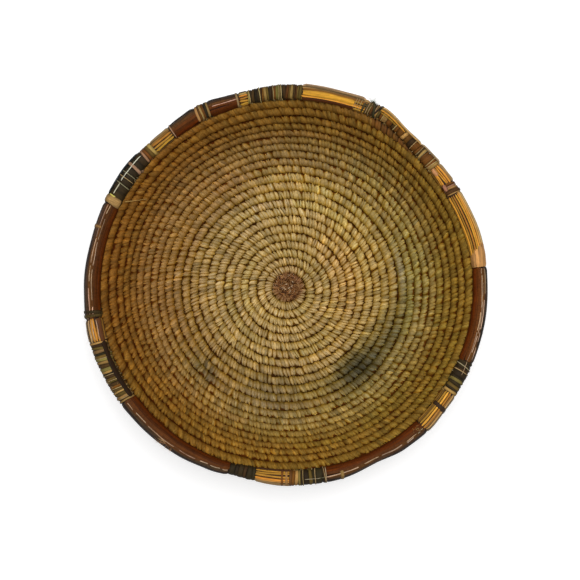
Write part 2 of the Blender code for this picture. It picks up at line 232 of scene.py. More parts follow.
class Shape:
    """The strands of one piece, and the random numbers that they vary by."""

    BODY = 0.92  # the part of a strand's cell on the map that its length takes, its ends have the rest
    END_MAP = np.array([(0.94, 0.0), (0.94, 0.9), (0.99, 0.9), (0.99, 0.0)])
    MARGIN = 0.04
    SHARP = math.radians(70)

    def __init__(self, rng=None):
        self.rng = rng
        self.corners, self.dyes, self.grains, self.faces, self.cells, self.maps = ([] for _ in range(6))
        self.corner_count = 0
        self.cell_count = 0

    def add(self, ring, dye, seed=0.0, steps_per_cell=None):
        """ring is (strand, step, corner, xyz). dye spreads over it, seed over its strands or steps."""
        if ring.ndim == 3:
            ring = ring[None]
        strands, steps, sides, _ = ring.shape
        per_cell = steps_per_cell or steps - 1
        spans = np.linalg.norm(np.diff(ring.mean(2), axis=1), axis=-1)
        along = np.concatenate([np.zeros((strands, 1)), np.cumsum(spans, 1)], 1)
        edges = np.linalg.norm(np.diff(ring, axis=2), axis=-1)
        across = np.concatenate([np.zeros((strands, steps, 1)), np.cumsum(edges, 2)], 2)
        grain = np.empty(ring.shape)
        grain[..., 0] = along[..., None]
        grain[..., 1] = across
        grain[..., 2] = np.asarray(seed, float).reshape(-1, 1, 1) if np.ndim(seed) == 1 else seed
        self.corners.append(ring.reshape(-1, 3))
        self.dyes.append(np.broadcast_to(dye, ring.shape).reshape(-1, 3))
        self.grains.append(grain.reshape(-1, 3))
        self.add_faces(strands, steps, sides, per_cell, ring)

    def add_faces(self, strands, steps, sides, per_cell, ring):
        """Four-sided faces along the strands and over their ends, each with its place on the map."""
        b, i, j = np.meshgrid(np.arange(strands), np.arange(steps - 1), np.arange(sides), indexing="ij")
        here = (b * steps + i) * sides
        after = (j + 1) % sides
        quads = np.stack([here + j, here + sides + j, here + sides + after, here + after], -1).reshape(-1, 4)
        low, high = (i % per_cell) / per_cell * self.BODY, (i % per_cell + 1) / per_cell * self.BODY
        left, right = j / sides, (j + 1) / sides
        uv = np.stack([low, left, high, left, high, right, low, right], -1).reshape(-1, 4, 2)
        cells_each = -(-(steps - 1) // per_cell)
        cell = (b * cells_each + i // per_cell).ravel()
        spans = sides // 2 - 1
        for step, order in ((0, 1), (steps - 1, -1)):
            start = (np.arange(strands) * steps + step)[:, None] * sides
            for k in range(spans):
                face = np.array([k, k + 1, sides - 2 - k, sides - 1 - k])[::order]
                spot = (k + spans * (step > 0) + self.END_MAP[:, 1]) / (2 * spans)
                spread = np.stack([self.END_MAP[:, 0], spot], -1)
                quads = np.concatenate([quads, start + face])
                uv = np.concatenate([uv, np.broadcast_to(spread, (strands, 4, 2))])
                cell = np.concatenate([cell, np.arange(strands) * cells_each])
        flat = ring.reshape(-1, 3)
        a, c, d, e = (flat[quads[:, k]] for k in range(4))
        volume = np.sum((np.cross(c - a, d - a) + np.cross(d - a, e - a)) * (a - flat.mean(0)))
        if volume < 0:
            quads, uv = quads[:, ::-1], uv[:, ::-1]
        self.faces.append(quads + self.corner_count)
        self.cells.append(cell + self.cell_count)
        self.maps.append(uv)
        self.corner_count += len(flat)
        self.cell_count += strands * cells_each

    def build(self, name, material, slot, *nodes):
        """Makes the piece's object, which rides on the one body and stands for these nodes."""
        corners, faces = np.concatenate(self.corners), np.concatenate(self.faces)
        corners[:, 2] = np.maximum(corners[:, 2], 0.0)
        mesh = bpy.data.meshes.new(name)
        mesh.vertices.add(len(corners))
        mesh.vertices.foreach_set("co", (corners * MM).astype(np.float32).ravel())
        mesh.loops.add(faces.size)
        mesh.loops.foreach_set("vertex_index", faces.astype(np.int32).ravel())
        mesh.polygons.add(len(faces))
        mesh.polygons.foreach_set("loop_start", np.arange(0, faces.size, 4, dtype=np.int32))
        mesh.polygons.foreach_set("use_smooth", np.ones(len(faces), bool))
        colours = np.ones((len(corners), 4), np.float32)
        # The dye attribute holds each corner's dye together with its painted shade and painted highlights
        colours[:, :3] = linear(np.concatenate(self.dyes))
        mesh.attributes.new("dye", "FLOAT_COLOR", "POINT").data.foreach_set("color", colours.ravel())
        grains = np.concatenate(self.grains).astype(np.float32)
        mesh.attributes.new("grain", "FLOAT_VECTOR", "POINT").data.foreach_set("vector", grains.ravel())
        side = math.ceil(math.sqrt(self.cell_count))
        cell = np.concatenate(self.cells)
        corner = np.stack([cell % side, cell // side], -1)[:, None, :]
        uv = (corner + self.MARGIN + (1 - 2 * self.MARGIN) * np.concatenate(self.maps)) / side
        mesh.uv_layers.new(name="OFBake").data.foreach_set("uv", uv.astype(np.float32).ravel())
        mesh.materials.append(material)
        mesh.update()
        mesh.validate()
        mesh.set_sharp_from_angle(angle=self.SHARP)
        piece = add_object(name, mesh)
        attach(piece, "root")
        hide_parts(*nodes)
        return piece


# Materials: each reads a strand's colour, its dye with painted shade and highlights, streaks it along the
# strand's grain, and roughens it the same way

SEED_SCALE = 3.7
NOISE_ROUGHNESS = 0.65
MOTTLE_SCALE = 260.0
RELIEF = 0.25


def set_inputs(tree, node, inputs):
    """Sets these inputs of a shader node, each to a value or to another node's output."""
    for key, value in inputs.items():
        if isinstance(value, bpy.types.NodeSocket):
            tree.links.new(value, node.inputs[key])
        else:
            node.inputs[key].default_value = value


def new_output(tree, kind, output, inputs, operation=None):
    """This output of a new shader node."""
    node = tree.nodes.new("ShaderNode" + kind)
    if operation:
        node.operation = operation
    set_inputs(tree, node, inputs)
    return node.outputs[output]


def fibre_material(name, streak, long_scale, cross_scale, dark, roughness, bump, specular, marks=0.0):
    """streak is how strongly fibres vary, dark how deep the darkest are, scales are per millimetre."""
    material = bpy.data.materials.new(name)
    material.use_nodes = True
    tree = material.node_tree

    def attribute(key, output):
        node = tree.nodes.new("ShaderNodeAttribute")
        node.attribute_name = key
        return node.outputs[output]

    def noise(vector, scale, detail, roughly=0.5):
        inputs = {"Vector": vector, "Scale": scale, "Detail": detail, "Roughness": roughly}
        return new_output(tree, "TexNoise", "Fac", inputs)

    def stretched_noise(long, cross, detail):
        inputs = {"Vector": grain, "Scale": (long, cross, SEED_SCALE)}
        return noise(new_output(tree, "Mapping", "Vector", inputs), 1.0, detail, NOISE_ROUGHNESS)

    def ranged(value, low, high, start=0.3, stop=0.7):
        inputs = {"Value": value, "From Min": start, "From Max": stop, "To Min": low, "To Max": high}
        return new_output(tree, "MapRange", "Result", inputs)

    def scaled(vector, share):
        return new_output(tree, "VectorMath", "Vector", {0: vector, "Scale": share}, "SCALE")

    grain = attribute("grain", "Vector")
    fibres = stretched_noise(long_scale, cross_scale, 4.0)
    mottle = noise(new_output(tree, "TexCoord", "Object", {}), MOTTLE_SCALE, 3.0)
    colour = scaled(attribute("dye", "Color"), ranged(fibres, dark, 1 + streak, 0.3, 0.72))
    colour = scaled(colour, ranged(mottle, 0.9, 1.08))
    if marks:
        # Short marks across the strip, as bark has
        colour = scaled(colour, ranged(stretched_noise(1.6, 0.25, 2.0), 1.0, 1 - marks, 0.5, 0.62))
    relief = {"Strength": bump, "Distance": RELIEF * MM, "Height": fibres}
    set_inputs(tree, tree.nodes["Principled BSDF"], {
        "Base Color": colour,
        "Roughness": ranged(fibres, *roughness),
        "Normal": new_output(tree, "Bump", "Normal", relief),
        "Specular IOR Level": specular,
    })
    return material


SEWING = fibre_material("sewing_fibre", 0.36, 0.45, 0.9, 0.52, (0.65, 0.95), 0.8, 0.08)
GRASS = fibre_material("grass_bundle", 0.2, 0.2, 2.0, 0.5, (0.8, 0.95), 0.8, 0.06)
KNOT = fibre_material("knot_fibre", 0.3, 0.5, 3.0, 0.5, (0.75, 1.0), 0.8, 0.08)
STRAW = fibre_material("rim_straw", 0.3, 0.06, 2.0, 0.55, (0.45, 0.7), 0.5, 0.15)
BARK = fibre_material("rim_bark", 0.4, 0.08, 0.8, 0.6, (0.4, 0.6), 0.2, 0.06, marks=0.3)
BLACK = fibre_material("black_fibre", 0.5, 0.12, 2.2, 0.5, (0.45, 0.7), 0.5, 0.1)
OLIVE = fibre_material("olive_fibre", 0.4, 0.12, 2.6, 0.5, (0.5, 0.75), 0.6, 0.1)
TIE = fibre_material("tie_fibre", 0.25, 0.2, 3.0, 0.55, (0.5, 0.8), 0.6, 0.12)

# Colours of the coil: the floor's dye, and the wall's by the way that it faces, from +X counterclockwise.
# The wall's hold its dye and painted light together: darker on the +Y side, which faces away from the light,
# and more orange on the -X side, as painted warm reflected light
DYE_CENTRE = np.array([1.3, 1.7])
FLOOR_DYE = np.array((177, 143, 87))
WALL_DYE_AND_LIGHT = np.array([
    (156, 127, 66.56),
    (149, 119, 62.4),
    (143, 109, 59.28),
    (148, 107, 56.16),
    (149, 106, 54.08),
    (154, 115, 59.28),
    (157, 124, 63.44),
    (151, 123, 64.48),
])
LIP_TINT = np.array((0.83, 0.745, 0.49))
KNOT_DYE = np.array((132, 88, 52))
KNOT_PLACE = np.array([2.1, 1.1])
# Distances from the middle over which the wall's colour takes over from the floor's, the lip's from the
# wall's, and the floor's from the knot's
WALL_FADE = (62, 118)
LIP_FADE = (122, 148)
KNOT_FADE = (11.5, 16.5)
CLOUD_DEPTH = 0.035
STAIN_EDGE = 0.7
# Stains: angle in degrees, radius, half length round the bowl, half width, dye and strength
STAINS = (
    (12, 58, 45, 16, (206, 152, 82), 0.5),
    (4, 101, 14, 6, (190, 138, 66), 0.6),
    (47, 96, 24, 9, (150, 130, 80), 0.35),
    (95, 78, 48, 10, (206, 178, 116), 0.5),
    (35, 80, 46, 13, (200, 162, 84), 0.5),
    (85, 98, 46, 12, (196, 160, 92), 0.6),
    (0, 112, 32, 12, (128, 114, 62), 0.55),
    (7, 105, 17, 3.6, (176, 156, 118), 0.7),
    (-45, 104, 29, 10, (84, 74, 49), 0.86),
    (-50, 99, 17, 9, (60, 55, 40), 0.7),
    (-23, 108, 17, 7, (100, 88, 54), 0.6),
    (-96, 104, 20, 18, (128, 104, 72), 0.75),
    (-135, 28, 26, 14, (198, 162, 98), 0.5),
    (-108, 104, 14, 8, (140, 116, 78), 0.5),
    (-130, 110, 10, 5, (104, 85, 68), 0.5),
    (-138, 108, 14, 8, (108, 92, 56), 0.6),
    (135, 86, 34, 9, (154, 122, 76), 0.6),
    (185, 98, 30, 7, (150, 114, 70), 0.5),
    (-70, 60, 20, 8, (178, 146, 78), 0.4),
    (66, 166, 34, 7, (104, 62, 28), 0.75),
)


def grass_dye_and_light(points):
    """Coil and sewing colour here: floor, wall with its painted light, clouds, stains and the dark start."""
    x, y = points[..., 0] - DYE_CENTRE[0], points[..., 1] - DYE_CENTRE[1]
    radius, angle = np.hypot(x, y), np.arctan2(y, x)
    part = (angle % TURN) / TURN * len(WALL_DYE_AND_LIGHT)
    low = np.floor(part).astype(int) % len(WALL_DYE_AND_LIGHT)
    share = smooth(part - np.floor(part))[..., None]
    wall = mixed(WALL_DYE_AND_LIGHT[low], WALL_DYE_AND_LIGHT[(low + 1) % len(WALL_DYE_AND_LIGHT)], share)
    dye = mixed(FLOOR_DYE, wall, grown(radius, WALL_FADE)[..., None])
    dye = dye * (1 + (LIP_TINT - 1) * grown(radius, LIP_FADE)[..., None])
    for degrees, middle, half_length, half_width, stain, strength in STAINS:
        apart = (angle - math.radians(degrees) + math.pi) % TURN - math.pi
        near = (apart * middle / half_length) ** 2 + ((radius - middle) / half_width) ** 2
        dye = mixed(dye, np.array(stain), (strength * np.exp(-STAIN_EDGE * near))[..., None])
    cloud = np.sin(x * 0.11 + 1.3) * np.sin(y * 0.13 + 0.4) + 0.6 * np.sin(x * 0.27 - y * 0.21)
    dye = dye * (1 + CLOUD_DEPTH * cloud[..., None])
    from_knot = np.hypot(points[..., 0] - KNOT_PLACE[0], points[..., 1] - KNOT_PLACE[1])
    return mixed(KNOT_DYE, dye, grown(from_knot, KNOT_FADE)[..., None])


# Sewing: a flat fibre wound over and over round the bundle and through the loop below, two wraps to a hole

FIRST_TURN = -1.0
# Distance from the middle, and the pitch of the wraps there
WRAP_PITCHES = ((0, 1.9), (14, 2.3), (33, 2.5), (60, 2.8), (90, 3.1), (200, 3.25))
# Distances from the middle, and how far a wrap slants along its row there
STITCH_LEANS = ((30, 60, 100, 140, 165), (2.9, 3.0, 2.9, 3.5, 6.4))
# Lengths from the axis, and how strongly the two wraps of a pair are pulled together there
PAIR_PULL = ((32, 58, 112), (0.98, 0.64, 0.62))
# How unevenly it is sewn: what both wraps of a pair share, and what each has alone
UNEVEN = {
    "pull": (0.35, 0.0),
    "foot": (0.3, 0.26),
    "crest": (0.26, 0.2),
    "rise": (0.045, 0.035),
    "lean": (0.4, 0.34),
    "width": (0.05, 0.08),
    "thickness": (0.10, 0.06),
    # tilt leans the painted shade across a wrap at random, one side lighter than the other
    "tilt": (0.0, 0.12),
}
# How much the spacing of the pairs varies, and the split between their two wraps
PAIR_VARIES = 0.15
PAIR_RANGE = (0.62, 1.5)
SPLIT_VARIES = 0.05
# How far the rows and their tops wander, and over how many wraps
ROW_WANDER = 0.22
RISE_WANDER = 0.04
WANDER_WRAPS = 9
# How far the last loop's outer side is drawn out to the rim
RIM_REACH = 1.0
# A wrap's way round the bundle: along and up from its middle, lean, share of the way on to the next wrap,
# pinch toward its partner, width, thickness and painted shade, darker down in the grooves, lighter on top
WRAP = np.array([
    (-3.85, -0.70, -1.00, 0.00, 0.08, 0.90, 0.50, 0.62),
    (-3.75, 0.80, -0.96, 0.00, 0.06, 1.00, 0.72, 0.76),
    (-3.15, 2.05, -0.80, 0.00, 0.03, 1.12, 0.92, 0.90),
    (-1.95, 3.05, -0.50, 0.00, 0.00, 1.22, 1.05, 0.98),
    (-0.35, 3.60, -0.12, 0.00, 0.01, 1.20, 1.10, 1.05),
    (1.20, 3.50, 0.28, 0.00, 0.07, 1.08, 1.12, 1.06),
    (2.35, 2.85, 0.62, 0.00, 0.17, 0.90, 1.02, 1.03),
    (3.10, 1.75, 0.88, 0.02, 0.27, 0.70, 0.84, 0.97),
    (3.40, 0.00, 1.00, 0.10, 0.30, 0.58, 0.75, 0.74),
    (2.65, -2.20, 0.70, 0.30, 0.08, 0.76, 0.75, 0.85),
    (0.90, -3.15, 0.10, 0.55, 0.00, 0.80, 0.75, 1.00),
    (-1.30, -3.15, -0.50, 0.80, 0.08, 0.78, 0.75, 0.98),
    (-3.45, -2.20, -0.95, 0.96, 0.20, 0.62, 0.60, 0.50),
])
WRAP_THICKNESS = 0.8
UNDERSIDE_ROOM = 0.62
# Beyond these distances along from the bundle's middle are a wrap's foot and its crest
FOOT_START = -2.5
CREST_START = 2
# Nearer to the middle than this the wraps slant less
FULL_LEAN = 25
# How far a wrap's section, its height and its painted shade lean toward its partner, its side there lighter
SKEW = 0.06
HEIGHT_TOWARD = 0.08
SHADE_TOWARD = 0.05
# Painted shade across a wrap, darker toward its edges
ACROSS_SHADE = np.array([0.64, 0.92, 1.06, 1.06, 0.92, 0.64])
# Between these lengths from the axis the sewing becomes like rope: its wraps are wider and flatter, with
# painted shade of their own across and on their way round, darkest where a wrap dives into the groove
ROPE_SPAN = (84.0, 112.0)
ROPE_WIDER = 0.16
ROPE_FLATTER = 0.3
ROPE_ACROSS = np.array([0.74, 0.96, 1.05, 1.05, 0.96, 0.74])
ROPE_SHADE = np.array([0.54, 0.64, 0.78, 0.92, 1.02, 1.08, 1.09, 1.01, 0.68, 0.85, 1.0, 0.98, 0.6])
# Torn ends along the outer edge of the wall's rows: which share of the wraps has one, where on the wrap it
# starts, how far it reaches, how wide it is, and how much paler
TORN_SHARE = 0.7
TORN_STEP = 6
TORN_REACH = (1.0, 2.6)
TORN_WIDTH = (0.32, 0.55)
TORN_LIGHT = 1.3


def shaded(shade):
    """Painted shade for each channel: what lies deeper, in grooves and gaps, is darker and browner."""
    shade = np.asarray(shade)
    blue = np.minimum(shade, 1) ** 5.5 * np.maximum(shade, 1) ** 2.2
    return np.stack([shade**0.8, shade**1.25, blue], -1)


def wrap_stations(rng):
    """Where each wrap crosses the bundle, in turns of the coil."""
    turns = np.linspace(FIRST_TURN, LOOPS, 6000)
    radius = profile(coil_length(turns))[0]
    spacing = np.interp(radius, *np.array(WRAP_PITCHES).T)
    rate = TURN * radius / spacing
    counted = np.concatenate([[0], np.cumsum((rate[1:] + rate[:-1]) / 2 * np.diff(turns))])
    pairs = int(counted[-1]) // 2
    steps = np.clip(1 + rng.normal(0, PAIR_VARIES, pairs), *PAIR_RANGE)
    ends = np.concatenate([[0], np.cumsum(steps)]) * counted[-1] / steps.sum()
    split = 0.5 + rng.normal(0, SPLIT_VARIES, pairs)
    stations = np.stack([ends[:-1], ends[:-1] * (1 - split) + ends[1:] * split], -1).ravel()
    return np.interp(stations, counted, turns)


def eased(values, advance):
    """Each wrap's value along its steps, changing to the next wrap's while the fibre is behind."""
    share = advance.reshape((1, -1) + (1,) * (values.ndim - 1))
    later = np.concatenate([values[1:], values[-1:]])
    return mixed(values[:, None], later[:, None], share)


def fine_noise(rng, count, spread):
    """Random numbers that differ from one wrap to the next, but little over longer stretches."""
    noise = rng.normal(0, spread, count + 6)
    return noise[3:-3] - 0.85 * np.convolve(noise, np.ones(7) / 7, "valid")


def slow_noise(rng, count, spread):
    """Random numbers that wander over many wraps."""
    at = np.arange(count) / WANDER_WRAPS
    stops = rng.normal(0, spread, int(at[-1]) + 2)
    low = at.astype(int)
    return stops[low] + (stops[low + 1] - stops[low]) * smooth(at - low)


def strip_tones(count, rng):
    """A tone for each wrap: a fibre lasts 8 to 24 wraps, some are yellower, and wraps differ a little."""
    tones = np.empty((count, 3))
    seeds = np.empty(count)
    start = 0
    while start < count:
        stop = start + rng.integers(8, 25)
        light = rng.normal(0, 0.025)
        warm = rng.normal(0, 0.004) - (0.006 if rng.uniform() < 0.2 else 0)
        tones[start:stop] = (1 + light + 0.5 * warm, 1 + light - 0.8 * warm, 1 + light + 3 * warm)
        seeds[start:stop] = rng.uniform(0, 60)
        start = stop
    tones *= 1 + fine_noise(rng, count, 0.075)[:, None]
    return tones, seeds


def drawn_to_rim(turns, along):
    """The last loop's outer side lies up against the rim."""
    return along + RIM_REACH * smooth((turns - LOOPS + 1.2) / 0.08) * np.clip(along / 3, 0, 1)


def torn_ends(rng, angle, length, along, up, radius):
    """Fibre ends that stand off wraps at these places, as rings of corners."""
    count = len(angle)
    t = np.linspace(0, 1, 5)
    reach = rng.uniform(*TORN_REACH, (count, 1))
    angle = angle + rng.normal(0.5, 0.6, (count, 1)) / radius * t
    up = up + 0.35 + 0.3 * np.sin(math.pi * t) - rng.uniform(0, 0.5, (count, 1)) * t
    wide = rng.uniform(*TORN_WIDTH, (count, 1)) * (1 - 0.7 * t)
    return rings(*placed(angle, length, along + reach * t, up), wide, wide * 0.7, ARCH)


def sew_coil():
    """Sews the coil, one piece for each course, and hands back the first loop, which the knot covers."""
    rng = np.random.default_rng(11)
    stations = wrap_stations(rng)
    count, steps = len(stations), len(WRAP)
    along, up, lean, advance, pinch, width, thick, shade = WRAP.T
    beyond = 2 * stations[-1] - stations[-2]
    following = np.append(stations[1:], beyond)
    pitch = np.repeat((np.append(stations[2::2], beyond) - stations[::2]) / 2, 2)
    partner = eased(np.where(np.arange(count) % 2, -1.0, 1.0), advance)
    rope_at = grown(coil_length(stations), ROPE_SPAN)

    def by_pair(kind, more=1.0):
        """Random numbers that both wraps of a pair share, and a little that each has alone."""
        shared, alone = UNEVEN[kind]
        both = np.repeat(rng.normal(0, shared, count // 2), 2) + rng.normal(0, alone * more, count)
        return eased(both, advance)

    tight = (1 + by_pair("pull")) * np.interp(coil_length(stations), *PAIR_PULL)[:, None]
    turns = stations[:, None] + advance * (following - stations)[:, None]
    turns = turns + partner * pinch * tight * pitch[:, None]
    length = coil_length(turns)
    radius, height, slope = profile(length)
    rope = grown(length, ROPE_SPAN)
    uneven = eased(slow_noise(rng, count, ROW_WANDER), advance)
    uneven = uneven + by_pair("foot") * (along < FOOT_START)
    uneven = uneven + by_pair("crest", 1 + rope_at) * ((along > CREST_START) & (up > 1))
    along = np.maximum(drawn_to_rim(stations[:, None], along + uneven), 0.5 - length)
    rise = 1 + by_pair("rise") + eased(slow_noise(rng, count, RISE_WANDER), advance)
    up = up * np.where(up > 0, rise, 1)
    # On the floor the underside is pressed flat between the bundle and what the bowl stands on
    up = np.maximum(up, UNDERSIDE_ROOM - height / np.cos(slope))
    leaning = (np.interp(radius, *STITCH_LEANS) / 2 + by_pair("lean")) * np.minimum(1, radius / FULL_LEAN)
    broad = (1 + by_pair("width")) * (1 + ROPE_WIDER * rope)
    angle = coil_angle(turns) + lean * leaning / np.maximum(radius, 6)
    ahead = np.roll(WRAP[:, :2], -1, 0) - np.roll(WRAP[:, :2], 1, 0)
    away = unit(np.stack([-ahead[:, 1], ahead[:, 0]], -1)).T
    points, outward = (values.reshape(-1, 3) for values in placed(angle, length, along, up, away))
    distance = np.hypot(points[:, 0] - CENTRE[0], points[:, 1] - CENTRE[1]).reshape(count, -1)
    half_widths = TURN * pitch[:, None] * np.maximum(distance, 2.0) * width * broad / 2
    heights = WRAP_THICKNESS * thick * (1 + by_pair("thickness")) * (1 - ROPE_FLATTER * rope)
    side = partner.reshape(-1, 1)
    toward = side * ARCH[:, 0]
    skewed = ARCH[:, 0] + SKEW * side * (1 - ARCH[:, 0] ** 2)
    section = np.stack([skewed, ARCH[:, 1] * (1 + HEIGHT_TOWARD * toward)], -1)
    ring = rings(points, outward, half_widths.ravel(), heights.ravel(), section)
    tones, seeds = strip_tones(count, rng)
    # Painted shade along each wrap's way round the bundle: darker in the grooves, lighter over the top
    shade = mixed(shade, ROPE_SHADE, rope)
    dye = grass_dye_and_light(points).reshape(count, -1, 3) * eased(tones, advance) * shaded(shade)
    # Painted shade across each wrap: darker at its edges, lighter toward its partner, tilted at random
    across = mixed(ACROSS_SHADE, ROPE_ACROSS, rope.reshape(-1, 1))
    tilt = by_pair("tilt").reshape(-1, 1) * ARCH[:, 0]
    dye = dye.reshape(-1, 1, 3) * shaded(across * (1 + SHADE_TOWARD * toward + tilt))
    seed = np.repeat(seeds, steps)[:, None]
    torn = np.flatnonzero(rng.uniform(0, 1, count) < TORN_SHARE * rope_at)
    torn_at = (values[torn, TORN_STEP][:, None] for values in (angle, length, along, up, radius))
    torn_ring = torn_ends(rng, *torn_at)
    torn_dye = dye.reshape(count, steps, -1, 3)[torn, TORN_STEP].mean(1)[:, None, None, :] * TORN_LIGHT
    for course in range(COURSES + 1):
        inside = ((stations >= course) | (course == 0)) & ((stations < course + 1) | (course == COURSES))
        first, last = np.flatnonzero(inside)[[0, -1]]
        cut = slice(first * steps, min((last + 1) * steps + 1, len(points)))
        shape = Shape(rng)
        shape.add(ring[cut], dye[cut], seed[cut], steps_per_cell=steps)
        add_hairs(shape, points[cut], outward[cut], dye[cut].mean(1))
        here = (torn >= first) & (torn <= last)
        if here.any():
            shape.add(torn_ring[here], torn_dye[here], seeds[torn[here]])
        if course:
            shape.build(f"stitches_{course:02d}", SEWING, "sewing", f"sewing_course_{course:02d}")
        else:
            first_loop = shape
    return first_loop


def add_hairs(shape, points, outward, dye, share=0.024, reach=(1.2, 3.6), thickness=0.1):
    """Loose fibre ends that stand off a strand here and there."""
    rng = shape.rng
    count = max(3, int(len(points) * share))
    chosen = rng.choice(len(points), count, replace=False)
    outward = unit(outward[chosen])
    start = points[chosen] + outward * 0.6
    aim = unit(outward * 0.8 + rng.normal(0, 0.75, (count, 3)))
    bend = rng.normal(0, 0.5, (count, 3))
    length = rng.uniform(*reach, count)[:, None]
    steps = np.linspace(0, 1, 5)
    path = np.stack([start + aim * length * t + bend * length * t * t * 0.5 for t in steps], 1)
    wide = thickness * (1 - 0.7 * steps) * np.ones((count, 1))
    sideways = np.broadcast_to(unit(bend + (0.01, 0.02, 0.03))[:, None, :], path.shape)
    light = (dye[chosen] * 1.2)[:, None, None, :]
    shape.add(rings(path, sideways, wide, wide, HAIR), light, rng.uniform(0, 60, count))


BUNDLE_HALF = 4.2
BUNDLE_RISE = 3.05
BUNDLE_FLOOR = 0.8
BUNDLE_STEPS = 84
# Painted shade on the bundle, which shows only deep in the gaps between the wraps: its share of its dye on
# the floor and on the wall
BUNDLE_PAINTED_SHADE = np.array(((0.62, 0.47, 0.22), (0.78, 0.54, 0.16)))


def make_foundation():
    """The grass bundle itself, one ribbed tube from the knot to the tail, seen between the stitches."""
    shape = Shape()
    turns = np.linspace(FIRST_TURN + 0.1, LOOPS, int(LOOPS * BUNDLE_STEPS))[:, None]
    length = coil_length(turns)
    along = np.maximum(drawn_to_rim(turns, BUNDLE_HALF * ribbed(0.93) * np.cos(TUBE)), 0.4 - length)
    ring = place(coil_angle(turns), length, along, BUNDLE_RISE * ribbed(0.93) * np.sin(TUBE))
    ring[..., 2] = np.maximum(ring[..., 2], BUNDLE_FLOOR)
    # Painted shade: the whole bundle is darkened, since it shows only in the gaps between the wraps
    shade = mixed(*BUNDLE_PAINTED_SHADE, grown(length, ROPE_SPAN)[..., None])
    shape.add(ring, grass_dye_and_light(ring) * shade * ribbed(0.75)[:, None], 5.0, steps_per_cell=6)
    shape.build("grass_bundle", GRASS, "foundation", "foundation_coil")


# Start knot: the coil's first turn in dark fibre, with short fibres crossed over it, pale flecks and fuzz

KNOT_DYES = np.array([(140, 93, 52), (114, 72, 41), (154, 108, 64), (84, 52, 30), (166, 124, 78)])
TUFT_DYE = (78, 48, 30)
TUFT_RADIUS = 6.5
TUFT_FOOT = 1.0
TUFT_RISE = 5.6
KNOT_FLECK = np.array((216, 186, 150))
KNOT_TOP = 7.7
KNOT_FALL = 1.5
KNOT_REACH = 12.2
FUZZ_REACH = 13.6
FIBRE_COUNT = 120
FUZZ_COUNT = 420
# Pale flecks: place on the knot and heading in degrees
FLECKS = ((-4.8, -0.6, 20), (-2.8, -2.2, -30), (0.9, -1.2, 15), (3.6, 0.6, 60), (4.2, 4.8, -50),
          (-1.5, 2.4, 10), (1.8, -4.6, 40))


def on_knot(x, y, lift):
    fall = KNOT_FALL * (np.hypot(x, y) / KNOT_REACH) ** 2
    return np.stack([x + KNOT_PLACE[0], y + KNOT_PLACE[1], KNOT_TOP - fall + lift], -1)


def short_fibres(shape, x, y, heading, reach, half_width, dye, lift):
    """Short bent fibres that lie on the knot, their ends tucked in."""
    t = np.linspace(-1, 1, 7)
    side = heading + shape.rng.normal(0, 0.35, (len(x), 1)) * t
    points = on_knot(x + np.cos(side) * reach / 2 * t, y + np.sin(side) * reach / 2 * t, lift - 1.3 * t**4)
    wide = half_width * (0.45 + 0.55 * (1 - t**2))
    ring = rings(points, np.broadcast_to(UP, points.shape), wide, wide * 0.8, ARCH)
    shape.add(ring, dye[:, None, None, :], shape.rng.uniform(0, 60, len(x)))


def make_knot(shape):
    """The knot, over the coil's first loop."""
    rng = shape.rng = np.random.default_rng(23)
    # The tuft that the first loop is wound on
    rise = np.linspace(0.05, 1, 7)[:, None] * math.pi / 2
    tuft = turned(TUBE, TUFT_RADIUS * np.cos(rise) * ribbed(0.93), TUFT_FOOT + TUFT_RISE * np.sin(rise))
    shape.add(tuft, TUFT_DYE, 3.0)
    size = (FIBRE_COUNT, 1)
    out = KNOT_REACH * np.sqrt(rng.uniform(0, 1, size))
    around = rng.uniform(0, TURN, size)
    heading = around + math.pi / 2 + rng.normal(0, 0.7, size)
    dye = KNOT_DYES[rng.integers(0, len(KNOT_DYES), FIBRE_COUNT)] * rng.uniform(0.72, 1.15, size)
    short_fibres(shape, out * np.cos(around), out * np.sin(around), heading, rng.uniform(3.5, 7.5, size),
                 rng.uniform(0.45, 0.9, size), dye, rng.uniform(-0.5, 0.6, size))
    x, y, heading = np.array(FLECKS).T[..., None]
    pale = KNOT_FLECK * rng.uniform(0.8, 1.1, x.shape)
    short_fibres(shape, x, y, np.radians(heading), rng.uniform(2.4, 4.0, x.shape), 0.42, pale, 0.9)
    around, out = rng.uniform(0, TURN, FUZZ_COUNT), FUZZ_REACH * np.sqrt(rng.uniform(0, 1, FUZZ_COUNT))
    start = on_knot(out * np.cos(around), out * np.sin(around), -0.2)
    dye = KNOT_DYES[rng.integers(0, len(KNOT_DYES), FUZZ_COUNT)] * 1.05
    dye[rng.uniform(0, 1, FUZZ_COUNT) < 0.1] = KNOT_FLECK
    aim = unit(UP + rng.normal(0, 1.8, start.shape) * (1, 1, 0.2))
    add_hairs(shape, start, aim, dye, share=1.0, thickness=0.14)
    shape.build("knot_fibres", KNOT, "knot", "start_knot")


# Rim: an inner bundle, and over it straws and bark strips laid along it and fibres wound round it

RIM_STEP = TURN - (COIL_END_ANGLE - RIM_STEP_ANGLE)


def rim_swell(angle):
    degrees = np.degrees(angle) % 360
    stops = np.array(RIM_SWELL)
    low = np.clip(np.searchsorted(stops[:, 0], degrees, "right") - 1, 0, len(stops) - 2)
    start, end = stops[low], stops[low + 1]
    return mixed(start[..., 1], end[..., 1], grown(degrees, (start[..., 0], end[..., 0])))


def rim_row(turn):
    """Length from the axis to the outer side of the row under the rim, by the turn from the coil's end."""
    carried = COIL_END - COIL_PITCH * np.minimum(turn, RIM_STEP) / TURN
    return carried + (COIL_END - carried) * grown(turn, (RIM_STEP, TURN)) + COIL_RADIUS


def rim_line(angle):
    """The rim's middle as (distance out, height), and its half width."""
    half = RIM_MIDDLE + rim_swell(angle)
    length = rim_row((angle - COIL_END_ANGLE) % TURN) + FACE_GAP + half
    radius, height, _ = profile(length)
    return radius + lopsided(angle, length), height, half


